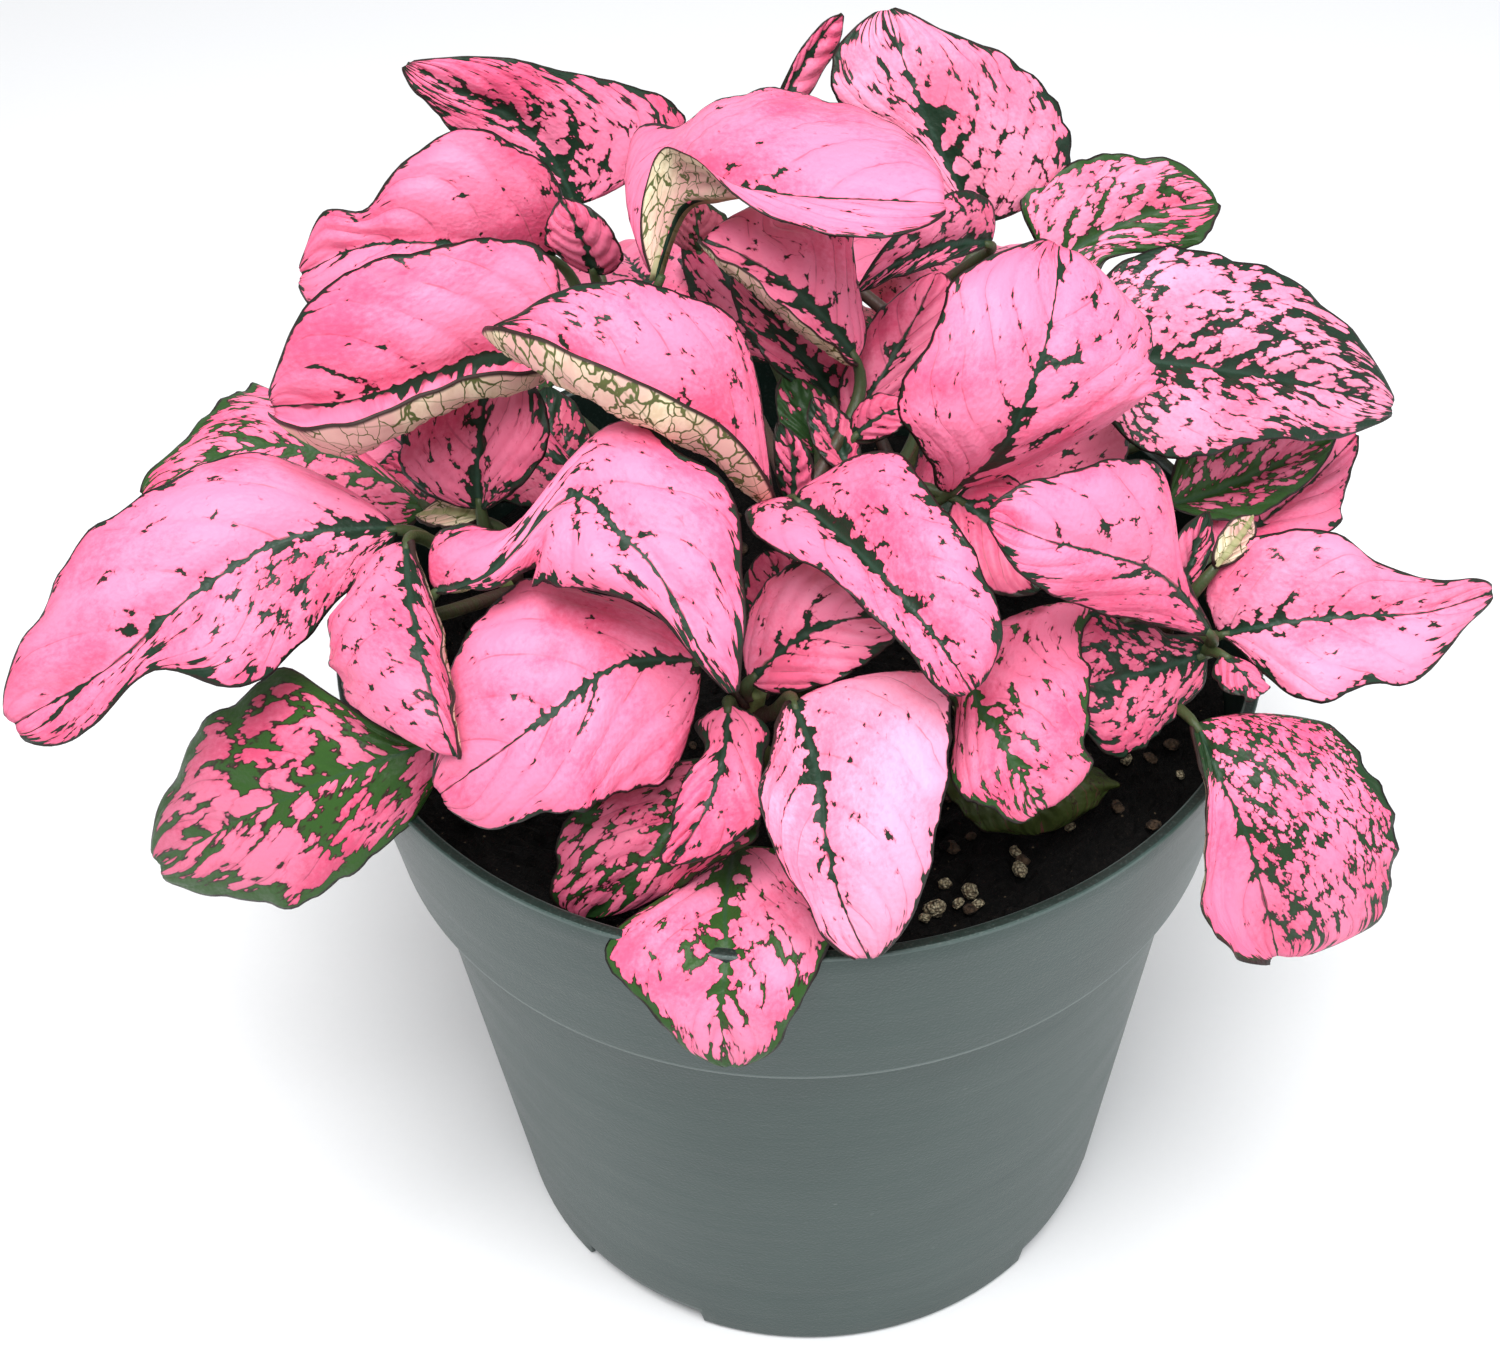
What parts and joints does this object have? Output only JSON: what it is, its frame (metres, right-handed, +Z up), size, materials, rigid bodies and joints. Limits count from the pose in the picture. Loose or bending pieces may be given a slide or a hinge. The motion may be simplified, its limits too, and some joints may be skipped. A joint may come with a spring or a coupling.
{
  "type": "potted plant",
  "caption": "Bushy pink and green spotted foliage plant in a round tapered nursery pot with a deep collar, a flat base and notched foot.",
  "frame": {"origin": "centre of the pot's flat underside, where it stands", "axes": "+Z up along the pot's axis, -Y towards the plant's front, +X to the right of someone facing the front"},
  "size_m": [0.1557, 0.1429, 0.1438],
  "materials": {
    "pot_plastic": "satin",
    "potting_mix": "matte",
    "stem_tissue": "satin",
    "leaf_tissue": "satin"
  },
  "bodies": {
    "root": {"pot": "pot_plastic", "soil": "potting_mix", "stem_west": "stem_tissue", "stem_north_west": "stem_tissue", "stem_centre": "stem_tissue", "stem_front": "stem_tissue", "stem_north_east": "stem_tissue", "stem_east": "stem_tissue", "leaf_far_left": "leaf_tissue", "leaf_left_behind": "leaf_tissue", "leaf_upper_left_cupped": "leaf_tissue", "leaf_centre_cupped": "leaf_tissue", "leaf_left_shaded": "leaf_tissue", "leaf_left_folded": "leaf_tissue", "leaf_left_green": "leaf_tissue", "leaf_top_left": "leaf_tissue", "leaf_top_left_folded": "leaf_tissue", "leaf_top_left_inner": "leaf_tissue", "leaf_top_arched": "leaf_tissue", "leaf_top_bud": "leaf_tissue", "leaf_top_right": "leaf_tissue", "leaf_upper_right_small": "leaf_tissue", "leaf_right_upright": "leaf_tissue", "leaf_right_spotted": "leaf_tissue", "leaf_right_shaded": "leaf_tissue", "leaf_right_behind": "leaf_tissue", "leaf_far_right": "leaf_tissue", "leaf_heart_folded": "leaf_tissue", "leaf_heart_dark": "leaf_tissue", "leaf_heart_spotted": "leaf_tissue", "leaf_heart_upright": "leaf_tissue", "leaf_heart_back": "leaf_tissue", "leaf_heart_tiny": "leaf_tissue", "leaf_heart_bud": "leaf_tissue", "leaf_heart_small": "leaf_tissue", "leaf_front_left_draped": "leaf_tissue", "leaf_front_left_broad": "leaf_tissue", "leaf_front_narrow": "leaf_tissue", "leaf_front_pale": "leaf_tissue", "leaf_front_inner": "leaf_tissue", "leaf_front_centre": "leaf_tissue", "leaf_front_right_pink": "leaf_tissue", "leaf_front_right_green": "leaf_tissue", "leaf_right_dark": "leaf_tissue", "leaf_lower_right_hanging": "leaf_tissue", "leaf_lower_left_spotted": "leaf_tissue", "leaf_rim_front": "leaf_tissue", "leaf_right_curl": "leaf_tissue", "leaf_soil_olive": "leaf_tissue", "leaf_right_sliver": "leaf_tissue", "leaf_inner_left": "leaf_tissue", "leaf_inner_right": "leaf_tissue", "leaf_back_left_low": "leaf_tissue", "leaf_back_left_high": "leaf_tissue", "leaf_back_middle": "leaf_tissue", "leaf_back_right_high": "leaf_tissue", "leaf_back_right_low": "leaf_tissue", "leaf_back_far_left": "leaf_tissue", "leaf_back_far_right": "leaf_tissue", "leaf_back_hanging": "leaf_tissue"}
  },
  "joints": []
}
